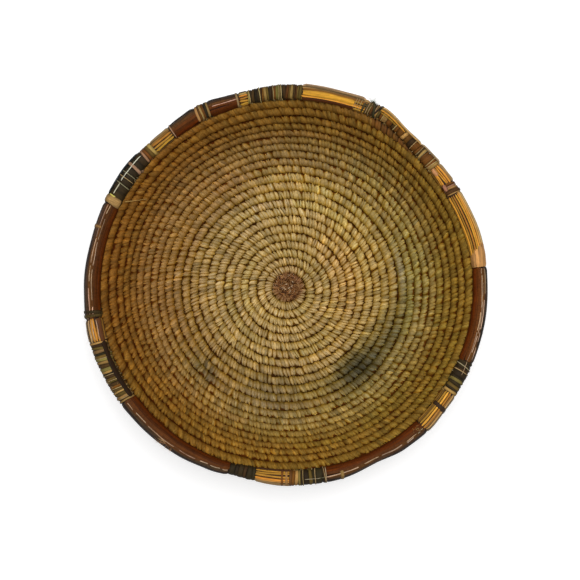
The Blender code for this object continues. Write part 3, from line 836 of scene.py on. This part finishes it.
# How much further in the rim's inner side reaches than a round one's, by degrees round the bowl
INNER_REACH = (
    (0, 1.2), (8, 0.4), (20, 1.4), (38, 1.4), (46, 0.5), (62, 0.5), (75, 0.8), (95, 0.9), (110, 1.4),
    (130, 1.4), (146, 2.1), (160, 1.3), (175, 0.6), (188, -0.2), (204, -0.8), (216, 0.0), (250, 0.2),
    (256, 2.0), (278, 2.0), (290, 1.0), (320, 1.0), (332, 2.1), (345, 1.4), (360, 1.2),
)


def on_rim(angle, around, lift):
    """Points lift over the rim's face. around is 0 outside, a quarter turn on top and half a turn inside."""
    out, height, half = rim_line(angle)
    inner = np.interp(np.degrees(angle) % 360, *np.array(INNER_REACH).T) * np.clip(-np.cos(around), 0, 1)
    level = height + (half + lift) * np.sin(around)
    return turned(angle, out + (half + lift) * np.cos(around) - inner, level)


def over_rim(angle, around, lift):
    """Points on the rim, and the way outward there."""
    points = on_rim(angle, around, lift)
    return points, on_rim(angle, around, lift + 1) - points


# Painted shade across a round strand, and across a flat strip, darker toward their edges
LONG_SHADE = np.array([0.55, 0.88, 1.05, 1.05, 0.88, 0.55])
STRIP_SHADE = np.array([0.8, 0.96, 1.02, 1.02, 0.96, 0.8])

# Painted shade on the rim: how much of its colour a strand keeps, by its place round the rim in degrees.
# It keeps all on top and less outside, below and inside, where the rim turns away from the light
RIM_SHADE_PLACES = (-180, -90, 0, 20, 50, 75, 130, 160, 180)
RIM_SHADE_SHARES = (0.66, 0.55, 0.60, 0.68, 0.84, 1.0, 1.0, 0.95, 0.66)

# In degrees, the steps and narrow ends of a strand along the rim, and the steps and sunk ends of a turn
STRAND_STEP = 0.8
STRAND_END = 0.45
TURN_STEP = 12
TURN_END = 14


def add_on_rim(shape, angle, side, lift, wide, thickness, dye, shade, cell_steps):
    """A strand through these places on the rim, with painted shade by where it lies round the rim."""
    rim_shade = np.interp((np.degrees(side) + 180) % 360 - 180, RIM_SHADE_PLACES, RIM_SHADE_SHARES)[:, None]
    ring = rings(*over_rim(angle, side, lift), wide, thickness, ARCH)
    tone = (np.asarray(dye, float) * rim_shade)[:, None, :] * shade[:, None]
    shape.add(ring, tone, shape.rng.uniform(0, 60), cell_steps)


def along_rim(shape, start, end, around, lift, half_width, thickness, dye, wave=0.02, taper=0.6, drift=0.0,
              shade=LONG_SHADE):
    """A strand laid along the rim from start to end, in degrees, its place round the rim also in degrees."""
    count = max(6, int(abs(end - start) / STRAND_STEP) + 2)
    share = np.linspace(0, 1, count)
    angle = np.radians(start + (end - start) * share)
    phase, pace = shape.rng.uniform(0, TURN), shape.rng.uniform(3, 7)
    side = np.radians(around + drift * (share - 0.5)) + wave * np.sin(share * pace + phase)
    in_from_end = smooth(np.minimum(share, 1 - share) * abs(end - start) / STRAND_END)
    narrow = taper + (1 - taper) * in_from_end
    lifted = lift + 0.10 * np.sin(share * pace * 1.7 + phase) - 0.5 * (1 - in_from_end)
    wide = half_width * narrow * (1 + 0.08 * np.sin(share * pace * 2.3 + phase))
    high = thickness * np.maximum(narrow, 0.6)
    add_on_rim(shape, angle, side, lifted, wide, high, dye, shade, max(4, count // 3))


def around_rim(shape, middle, slant, lift, half_width, thickness, dye, start=-200, end=172):
    """A turn of fibre wound round the rim at this angle, slanting along it by slant degrees in one turn."""
    count = max(8, int((end - start) / TURN_STEP))
    share = np.linspace(0, 1, count)
    side = np.radians(start + (end - start) * share)
    bend = shape.rng.uniform(0, TURN)
    angle = np.radians(middle + slant * (side / TURN - 0.25) + 0.10 * np.sin(side * 1.5 + bend))
    lift = lift - 0.9 * (1 - smooth(np.minimum(share, 1 - share) * (end - start) / TURN_END))
    wide = half_width * (1 + 0.10 * np.sin(side * 1.7 + bend))
    add_on_rim(shape, angle, side, lift, wide, thickness, dye, LONG_SHADE, 10)


def under_layer(shape, start, end, dye, depth=1.1):
    """A dark layer under a section's strands: painted shade that shows in the gaps between them."""
    count = max(5, int((end - start) / 1.2) + 2)
    angle = np.radians(np.linspace(start, end, count))[:, None]
    side = np.arange(16) * TURN / 16
    ring = on_rim(angle, side, -depth + 0.12 * np.sin(side * 5 + angle * 60))
    shape.add(ring, dye, 2.0, steps_per_cell=4)


def varied(dye, rng, spread=0.08):
    light = 1 + np.clip(rng.normal(0, spread), -2 * spread, 1.2 * spread)
    return np.asarray(dye, float) * light * (1 + rng.normal(0, 0.02, 3))


def fray(shape, middle, around, count, reach, dye, spread, thickness=0.12):
    """Broken fibre ends that stand off the rim about this place."""
    rng = shape.rng
    angle = np.radians(middle + rng.normal(0, spread, count))
    side = np.radians(around + rng.normal(0, 14, count))
    start, outward = over_rim(angle, side, -0.4)
    add_hairs(shape, start, outward, varied(dye, rng) * np.ones((count, 3)), 1.0, reach, thickness)


def highlight_dashes(shape, start, end, around, dye, half_width=0.42, lift=-0.16):
    """A broken pale line along the rim: a painted highlight along a glossy strand."""
    rng = shape.rng
    at = start
    while at < end - 0.8:
        stop = min(at + rng.uniform(3.0, 12.0), end)
        side, wide = around + rng.normal(0, 1.5), half_width * rng.uniform(0.7, 1.2)
        along_rim(shape, at, stop, side, lift, wide, 0.34, varied(dye, rng, 0.14), wave=0.03)
        at = stop + rng.uniform(-0.4, 0.9)


# Painted shade in the gaps between straws
STRAW_GAP_SHADE = (50, 30, 14)
# Straw colours by place round the rim: paler and greyer outside, orange above, golden inside, browner below
STRAW_STOPS = (-180, 0, 30, 55, 78, 105, 135, 165, 180)
STRAW_DYES = np.array([
    (150, 102, 42),
    (180, 150, 106),
    (222, 186, 136),
    (208, 162, 94),
    (190, 128, 46),
    (212, 150, 54),
    (196, 140, 48),
    (200, 142, 44),
    (176, 122, 44),
], float)

STRAW_VARIES = 0.18
STRAW_THICKNESS = 0.95


def lay_straws(shape, start, end, half_width, ragged, low=-180, high=180, lift=-0.95, pale=1.0):
    """Straws side by side round the rim from low to high degrees, their ends a little uneven."""
    rng = shape.rng
    count = round(math.radians(high - low) * RIM_MIDDLE / (2 * half_width * 1.1))
    for k in range(count):
        around = low + (high - low) * (k + 0.5 + rng.uniform(-0.2, 0.2)) / count
        first = start + rng.uniform(-0.1, ragged)
        last = end - rng.uniform(-0.1, ragged)
        lifted, wide = lift + rng.normal(0, 0.13), half_width * rng.uniform(0.8, 1.1)
        dye = [np.interp(around, STRAW_STOPS, channel) for channel in STRAW_DYES.T]
        dye = varied(dye, rng, STRAW_VARIES) * pale
        along_rim(shape, first, last, around, lifted, wide, STRAW_THICKNESS, dye, drift=rng.normal(0, 4))


def bed_straws(shape, start, end, half_width, ragged, pale):
    under_layer(shape, start, end, STRAW_GAP_SHADE)
    lay_straws(shape, start, end, half_width, ragged, pale=pale)


# Bark by place round the rim, from its inner side over the top to its outer side and below
BARK_STRIPS = (
    (173, (98, 43, 7)),
    (149, (94, 42, 6)),
    (127, (90, 44, 8)),
    (104, (92, 51, 18)),
    (82, (98, 62, 30)),
    (62, (84, 60, 42)),
    (42, (54, 44, 36)),
    (20, (40, 38, 36)),
    (-4, (36, 32, 26)),
    (-30, (66, 38, 18)),
    (-56, (74, 42, 20)),
    (-82, (66, 34, 16)),
    (-108, (72, 38, 18)),
    (-134, (62, 32, 14)),
    (-160, (56, 28, 12)),
)
# Colour of the painted highlight lines along the bark
BARK_HIGHLIGHT = (198, 164, 130)
# Painted shade in the gaps between bark strips
BARK_GAP_SHADE = (34, 18, 10)
# Lift, half width and thickness of a strip
BARK_SIZE = (-0.52, 1.7, 0.48)


def lay_bark(shape, start, end, light_at, warm):
    """Glossy bark strips along the rim, with broken lines of painted highlight along some."""
    rng = shape.rng
    under_layer(shape, start, end, BARK_GAP_SHADE, 0.9)
    for around, dye in BARK_STRIPS:
        first = start + rng.uniform(-0.1, 0.3)
        last = end - rng.uniform(-0.1, 0.3)
        tone = varied(dye, rng, 0.07) * warm
        along_rim(shape, first, last, around + rng.normal(0, 2), *BARK_SIZE, tone, taper=0.8,
                  drift=rng.normal(0, 5), shade=STRIP_SHADE)
    # Painted highlight lines along the strips, where light_at says
    for around in light_at:
        highlight_dashes(shape, start + 0.3, end - 0.3, around, BARK_HIGHLIGHT)


# Colours of the fibres wound round the rim
WOUND_DYES = {
    "k": (46, 36, 18),
    "d": (66, 46, 22),
    "o": (100, 78, 34),
    "g": (124, 111, 54),
    "t": (162, 126, 70),
    "p": (170, 126, 90),
    "b": (104, 64, 22),
}
THREAD_DYE = (178, 150, 100)
# Painted shade in the gaps between the wound turns
WOUND_GAP_SHADE = (26, 20, 12)
WOUND_LIFT = -0.75
THREAD_LIFT = 0.05
THREAD_THICKNESS = 0.35


def wind(shape, start, end, bands, slant, thread_share):
    """Turns of flat fibre round the rim, one for each letter of bands, a capital twice as wide."""
    rng = shape.rng
    under_layer(shape, start, end, WOUND_GAP_SHADE, 0.95)
    sizes = rng.uniform(0.7, 1.3, len(bands)) * [2 if letter.isupper() else 1 for letter in bands]
    edges = start + (end - start) * np.concatenate([[0], np.cumsum(sizes)]) / sizes.sum()
    out = float(rim_line(math.radians((start + end) / 2))[0])
    for letter, low, high in zip(bands, edges[:-1], edges[1:]):
        half_width = out * math.radians(high - low) / 2
        dye = varied(WOUND_DYES[letter.lower()], rng, 0.10)
        around_rim(shape, (low + high) / 2, slant + rng.normal(0, 0.2), WOUND_LIFT + rng.normal(0, 0.1),
                   half_width * 1.1, rng.uniform(0.45, 0.65), dye)
        if rng.uniform() < thread_share:
            around_rim(shape, high, slant + rng.normal(0, 0.3), THREAD_LIFT, rng.uniform(0.28, 0.42),
                       THREAD_THICKNESS, varied(THREAD_DYE, rng))


# What lies over the sections. Each strand has its place in degrees, then slant or side, lift, half width,
# thickness and dye, as its function asks for them

def dress_straws(shape, name):
    """What lies over the straws of these sections: broad flat ones, ties, crossed bands."""
    if name == "rim_straw_1":
        lay_straws(shape, 67.5, 85.8, 0.9, 0.3, low=-40, high=62, lift=0.1)
        along_rim(shape, 70.3, 85.6, 106, -0.35, 2.5, 0.7, (216, 156, 46), taper=0.8)
        # Painted shadow along the rim's inner side
        along_rim(shape, 69.5, 85.8, 156, -0.3, 1.8, 0.6, (86, 44, 14), taper=0.8)
        for middle in (68.4, 69.3, 70.0):
            around_rim(shape, middle, 1.6, -0.05, 0.26, 0.35, THREAD_DYE)
        for middle in (66.4, 67.2):
            around_rim(shape, middle, 1.2, -0.25, 1.1, 0.6, (70, 58, 32), start=70)
    if name == "rim_straw_4":
        # Painted shadow along the rim's inner side, over the last row
        along_rim(shape, 189.3, 196.2, 132, -0.1, 2.2, 0.7, (98, 58, 28), taper=0.8)
        # Painted highlights along the straws
        for around in (64, 86, 112):
            highlight_dashes(shape, 189.6, 195.4, around, (222, 184, 146), 0.4, 0.1)
        fray(shape, 192, 60, 14, (1.5, 4.0), (196, 160, 116), 2.2)
    if name == "rim_straw_5":
        along_rim(shape, 260.2, 271, 163, -0.1, 1.6, 0.6, (84, 50, 20), taper=0.8)
        for middle, dye in ((268.2, (112, 68, 24)), (269.5, (164, 120, 66)), (270.7, (104, 66, 26))):
            around_rim(shape, middle, 0.5, -0.35, 1.2, 0.5, dye)
    if name == "rim_straw_6":
        around_rim(shape, 321.8, 2.0, -0.15, 2.1, 0.6, (54, 36, 18))
        # Painted highlight along the straws
        highlight_dashes(shape, 314.5, 321, 88, (206, 160, 96), 0.3)
    if name == "rim_straw_7":
        for around, tone in ((48, 1.1), (80, 1.02), (112, 1.14), (140, 0.96), (164, 0.96)):
            dye = np.array((196, 142, 82)) * tone
            end = 373.4 - (around - 48) * 0.03
            along_rim(shape, 366.2, end, around, -0.3, 2.2, 0.6, dye, taper=0.8, drift=-10)
    if name == "rim_straw_8":
        along_rim(shape, 396.8, 399.4, 128, -0.1, 1.9, 0.7, (206, 146, 96), taper=0.5)


def dress_bark(shape, name):
    """Ties and frayed places over the bark."""
    if name == "rim_bark_1":
        around_rim(shape, 105.2, 0.6, -0.1, 1.0, 0.5, (150, 124, 84))
    if name == "rim_bark_2":
        around_rim(shape, 126.5, 0.6, -0.1, 0.5, 0.5, (170, 132, 100))
    if name == "rim_bark_3":
        around_rim(shape, 162.2, 0.8, -0.1, 1.7, 0.5, (146, 108, 64), start=-30, end=96)
        around_rim(shape, 187.2, 0.8, -0.05, 1.5, 0.6, (60, 48, 26))
        around_rim(shape, 188.3, 0.8, -0.1, 1.5, 0.6, (82, 66, 34))
    if name == "rim_bark_4":
        rng = shape.rng
        for _ in range(9):
            start, length = rng.uniform(228.5, 234), rng.uniform(1, 3)
            around, wide = rng.uniform(20, 75), rng.uniform(0.3, 0.6)
            dye = varied((146, 112, 76), rng, 0.15)
            along_rim(shape, start, start + length, around, -0.1, wide, 0.4, dye, taper=0.3,
                      drift=rng.normal(0, 12))
        fray(shape, 232, 40, 26, (1.0, 3.5), (150, 116, 80), 1.8)
    if name == "rim_bark_5":
        around_rim(shape, 286.2, 0.6, -0.1, 1.7, 0.5, (142, 112, 64), start=-30, end=112)
        around_rim(shape, 281.4, 0.6, -0.1, 0.45, 0.4, (160, 138, 106))
        # Painted highlights on the bark
        highlight_dashes(shape, 307, 313, 76, (214, 192, 168), 0.34)
        fray(shape, 312.4, 110, 16, (1.0, 3.0), (160, 130, 84), 0.5)
    if name == "rim_bark_6":
        # Painted highlight on the bark
        highlight_dashes(shape, 340, 362, 84, (206, 176, 146), 0.3)


def loose_thread(shape):
    """A pale thread that hangs from the rim down over the wall."""
    t = np.linspace(0, 1, 9)
    points = place(np.radians(152.2 - 4.4 * t), 183 - 15 * t, 0, 4.9 + 0.8 * np.sin(t * math.pi))
    wide = 0.32 * (1 - 0.5 * t)
    shape.add(rings(points, np.broadcast_to(UP, points.shape), wide, wide, HAIR), (196, 158, 92), 3.0)


def dress_wound(shape, name):
    """Ties, strips and frayed ends over the wound sections."""
    if name == "rim_wrap_2":
        for around in (16, 34):
            along_rim(shape, 138.2, 152.5, around, -0.05, 1.5, 0.5, (40, 48, 52))
        # Painted highlight line along the wound turns
        highlight_dashes(shape, 138.3, 152.2, 82, (216, 206, 184), 0.42, 0.1)
        around_rim(shape, 142.1, 0.9, -0.05, 1.5, 0.55, (160, 124, 96))
        for middle in (144.7, 148.2):
            around_rim(shape, middle, 1.0, -0.05, 0.4, 0.4, (140, 132, 100))
        around_rim(shape, 153.7, 0.6, 0.0, 3.7, 0.6, (166, 130, 78), start=-40, end=164)
        around_rim(shape, 152.4, 0.8, 0.15, 0.7, 0.5, (204, 190, 96), start=48, end=104)
        loose_thread(shape)
    if name == "rim_wrap_3":
        # Painted shadow along the rim's inner side, over the last row
        along_rim(shape, 196, 214.8, 133, 0.0, 2.4, 0.6, (40, 24, 8))
        fray(shape, 211, 60, 16, (1.0, 3.0), (160, 128, 84), 2.5)
    if name == "rim_wrap_5":
        # Painted highlight line along the wound turns
        highlight_dashes(shape, 275, 281, 88, (150, 140, 112), 0.3, 0.1)
    if name == "rim_wrap_6":
        around_rim(shape, 335.8, 3.0, 0.0, 0.32, 0.4, (176, 162, 124))
        # Painted highlight line along the wound turns
        highlight_dashes(shape, 333, 337.4, 92, (150, 130, 100), 0.3, 0.1)
    if name == "rim_wrap_7":
        lay_straws(shape, 399.6, 407, 0.7, 0.2, low=8, high=44, lift=0.1)
    if name == "rim_bark_7":
        lay_straws(shape, 407, 422.3, 0.75, 0.3, low=5, high=52, lift=0.1)
        lay_straws(shape, 412.5, 422.3, 0.8, 0.8, low=52, high=88, lift=0.15)
        lay_straws(shape, 416, 422.3, 0.8, 0.8, low=88, high=112, lift=0.1)
    if name == "rim_lashing_1":
        fray(shape, 425.2, 18, 30, (2.0, 5.0), (190, 188, 184), 0.5, 0.16)
        fray(shape, 424.5, 70, 20, (1.5, 4.0), (90, 84, 52), 1.2, 0.2)
        around_rim(shape, 423.2, 5.0, 0.0, 1.0, 0.8, (46, 34, 20), start=-20, end=150)
        around_rim(shape, 424.4, -5.0, 0.1, 1.0, 0.8, (56, 54, 30), start=10, end=170)
    if name == "rim_lashing_3":
        along_rim(shape, 391.2, 393.4, 138, 0.0, 1.9, 0.8, (190, 132, 100), taper=0.5)
        around_rim(shape, 390.3, 1.0, 0.0, 1.4, 0.6, (84, 54, 24))


# Sections of the rim: kind, from and to in degrees, seed, and what else its laying function is given
STRAW_SECTIONS = {
    "rim_straw_1": ("straw", 66, 86, 31, 0.9, 0.3, 1.0),
    "rim_straw_2": ("straw", 102, 104.5, 32, 1.1, 0.1, 0.9),
    "rim_straw_3": ("straw", 127, 134, 33, 1.2, 0.2, 0.85),
    "rim_straw_4": ("straw", 189, 196, 34, 1.2, 0.5, 1.0),
    "rim_straw_5": ("straw", 260, 271, 35, 1.0, 0.3, 0.92),
    "rim_straw_6": ("straw", 314, 327, 36, 0.95, 0.5, 1.0),
    "rim_straw_7": ("straw", 366, 389.5, 37, 0.85, 0.6, 1.14),
    "rim_straw_8": ("straw", 393, 399.5, 38, 0.9, 0.3, 1.06),
}
BARK_SECTIONS = {
    "rim_bark_1": ("bark", 104.5, 114, 41, (96,), 0.92),
    "rim_bark_2": ("bark", 118, 127, 42, (), 0.95),
    "rim_bark_3": ("bark", 155, 189, 43, (80, 99), 1.05),
    "rim_bark_4": ("bark", 215, 252, 44, (82,), 0.95),
    "rim_bark_5": ("bark", 281, 314, 45, (86,), 1.0),
    "rim_bark_6": ("bark", 337.5, 366, 46, (92, 66), 1.05),
}
WOUND_SECTIONS = {
    "rim_wrap_1": ("olive_fibre", 86, 102, 51, "oobdtobdkogbdkotbdkkdkg", 0.5, 0.3),
    "rim_wrap_2": ("black_fibre", 134, 155, 52, "tobpKKKKKKKK", 0.7, 0.25),
    "rim_wrap_3": ("olive_fibre", 196, 215, 53, "tdotkogtdgtkdoodbototbt", 1.2, 0.2),
    "rim_wrap_4": ("black_fibre", 252, 260, 54, "KkKdKk", 0.5, 0.1),
    "rim_wrap_5": ("olive_fibre", 271, 281, 55, "btgkKokKd", 0.6, 0.3),
    "rim_wrap_6": ("black_fibre", 327, 337.5, 56, "tkokgkKdKk", 0.9, 0.2),
    "rim_wrap_7": ("black_fibre", 399.5, 407, 57, "tbBbtdb", 0.8, 0.5),
    "rim_bark_7": ("bark", 407, 422, 47, "bdbtbbdbtb", 1.0, 0.2),
    "rim_lashing_1": ("tie", 422, 426, 61, "otdbo", 1.2, 0.2),
    "rim_lashing_2": ("tie", 114, 118, 62, "tkbtbt", 0.8, 0.4),
    "rim_lashing_3": ("tie", 389.5, 393, 63, "tbtpb", 0.9, 0.2),
}
# Material of each kind, and the ending of its pieces' names
RIM_KINDS = {
    "straw": (STRAW, "lengths"),
    "bark": (BARK, "strips"),
    "olive_fibre": (OLIVE, "turns"),
    "black_fibre": (BLACK, "turns"),
    "tie": (TIE, "cords"),
}
CORE_DYE = (110, 80, 38)


def make_rim():
    core = Shape()
    angle = np.linspace(COIL_END_ANGLE, COIL_END_ANGLE + TURN, 240)[:, None]
    out, height, _ = rim_line(angle)
    ribs = RIM_CORE_RADIUS * ribbed(0.9, 0.99)
    core_ring = turned(angle, out + ribs * np.cos(TUBE), height + ribs * np.sin(TUBE))
    core.add(core_ring, CORE_DYE, 4.0, steps_per_cell=5)
    core.build("rim_bundle", GRASS, "foundation", "rim_core")
    for sections, lay, dress in (
        (STRAW_SECTIONS, bed_straws, dress_straws),
        (BARK_SECTIONS, lay_bark, dress_bark),
        (WOUND_SECTIONS, wind, dress_wound),
    ):
        for name, (kind, start, end, seed, *more) in sections.items():
            shape = Shape(np.random.default_rng(seed))
            lay(shape, start, end, *more)
            dress(shape, name)
            material, ending = RIM_KINDS[kind]
            shape.build(f"{name}_{ending}", material, kind, name)


# The coil's tapered end: from and to in degrees past the end of the coil's last full loop
TAIL_SPAN = (-1.2, 15.5)
TAIL_STEPS = 68
TAIL_DYE = (116, 76, 28)
TAIL_CORE_DYE = (64, 40, 20)
TAIL_PITCH = 3.1
TAIL_THIN = 1.6


def make_tail():
    """The coil's tapered end, wound like the rest, between the last loop and the rim."""
    rng = np.random.default_rng(71)
    shape = Shape(rng)
    angle = COIL_END_ANGLE - np.radians(np.linspace(*TAIL_SPAN, TAIL_STEPS))
    under = rim_row(np.where(angle > COIL_END_ANGLE, TURN, (angle - COIL_END_ANGLE) % TURN))
    below = COIL_END - COIL_PITCH * (1 - (COIL_END_ANGLE - angle) / TURN) + COIL_RADIUS
    half = np.clip((under - below) / 2 + 0.5, 1.4, COIL_RADIUS + 0.7)
    middle = under - half + 0.9
    tall = TAIL_THIN + (COIL_RADIUS - TAIL_THIN) * half / COIL_RADIUS
    along, up = half[:, None] * np.cos(TUBE), (tall * 0.9)[:, None] * np.sin(TUBE)
    shape.add(place(angle[:, None], middle[:, None], along, up), TAIL_CORE_DYE, 6.0, steps_per_cell=12)
    radius = float(profile(COIL_END)[0])
    around = np.linspace(-0.55 * math.pi, 1.2 * math.pi, 14)
    away = np.cos(around), np.sin(around)
    top = np.clip(np.sin(around), 0, 1)
    for k in range(int((angle[0] - angle[-1]) * radius / TAIL_PITCH)):
        at = angle[0] - (k + 0.5 + (0.12 if k % 2 else -0.12)) * TAIL_PITCH / radius
        here, out, rise = (np.interp(at, angle[::-1], values[::-1]) for values in (middle, half, tall))
        points, outward = placed(at + 0.011 * away[0], here, out * away[0], rise * away[1], away)
        # Painted shade: each turn darker where it bends down from the top, and toward its edges
        dye = varied(TAIL_DYE, rng, 0.12) * (0.55 + 0.45 * top)[:, None, None] * LONG_SHADE[:, None]
        ring = rings(points, outward, TAIL_PITCH / 2 * (0.7 + 0.36 * top), 0.75, ARCH)
        shape.add(ring, dye, rng.uniform(0, 60))
    shape.build("coil_tail_turns", TIE, "tie", "coil_tail")


# Stage: camera where the photograph was taken, soft light, pale floor, in metres

CAMERA_PLACE = (-0.0054, -0.0287, 0.7594)
CAMERA_SHIFT = (0.0172, 0.0497)
LENS = 50.2
SENSOR = 36.0
NEAREST = 0.01
# Lamps: place, size and power
LAMPS = {
    "key_light": ((0.12, 0.38, 1.35), 0.9, 10.5),
    "fill_light": ((-0.5, -0.45, 1.1), 1.2, 2.4),
}
WORLD_LIGHT = 0.38
WHITE = (1, 1, 1, 1)
FLOOR_COLOUR = (0.82, 0.82, 0.82, 1)
FLOOR_ROUGHNESS = 0.9
FLOOR_LIFT = 0.45
FLOOR_HALF = 4.0
FLOOR_DROP = -0.0002


def seen_rays(tree):
    """1 on what the camera sees, also in gloss and through glass, and 0 for light that falls on things."""
    seen = new_output(tree, "LightPath", "Is Camera Ray", {})
    for ray in ("Is Glossy Ray", "Is Transmission Ray"):
        seen = new_output(tree, "Math", 0, {0: seen, 1: new_output(tree, "LightPath", ray, {})}, "MAXIMUM")
    return seen


def make_stage():
    scene = bpy.context.scene
    scene.view_settings.view_transform = "Standard"
    camera_data = bpy.data.cameras.new("camera")
    camera_data.lens = LENS
    camera_data.sensor_width = SENSOR
    camera_data.shift_x, camera_data.shift_y = CAMERA_SHIFT
    camera_data.clip_start = NEAREST
    scene.camera = add_object("camera", camera_data, CAMERA_PLACE)

    for name, (lamp_place, size, power) in LAMPS.items():
        data = bpy.data.lights.new(name, "AREA")
        data.size = size
        data.energy = power
        aim = -np.array(lamp_place)
        tilt = math.acos(-aim[2] / np.linalg.norm(aim))
        lamp = add_object(name, data, lamp_place)
        lamp.rotation_euler = (tilt, 0, math.atan2(aim[1], aim[0]) - math.pi / 2)

    world = bpy.data.worlds.new("studio")
    world.use_nodes = True
    tree = world.node_tree
    light = {0: seen_rays(tree), 1: 1 - WORLD_LIGHT, 2: WORLD_LIGHT}
    strength = new_output(tree, "Math", 0, light, "MULTIPLY_ADD")
    set_inputs(tree, tree.nodes["Background"], {"Color": WHITE, "Strength": strength})
    scene.world = world

    material = bpy.data.materials.new("pale_floor")
    material.use_nodes = True
    tree = material.node_tree
    set_inputs(tree, tree.nodes["Principled BSDF"], {
        "Base Color": FLOOR_COLOUR,
        "Roughness": FLOOR_ROUGHNESS,
        "Emission Color": WHITE,
        "Emission Strength": new_output(tree, "Math", 0, {0: seen_rays(tree), 1: FLOOR_LIFT}, "MULTIPLY"),
    })
    floor_mesh = bpy.data.meshes.new("studio_floor")
    corners = [(FLOOR_HALF * x, FLOOR_HALF * y, FLOOR_DROP) for x, y in ((-1, -1), (1, -1), (1, 1), (-1, 1))]
    floor_mesh.from_pydata(corners, [], [(0, 1, 2, 3)])
    floor_mesh.materials.append(material)
    floor = add_object("studio_floor", floor_mesh)


def main():
    make_stage()
    first_loop = sew_coil()
    make_foundation()
    make_knot(first_loop)
    make_rim()
    make_tail()


main()
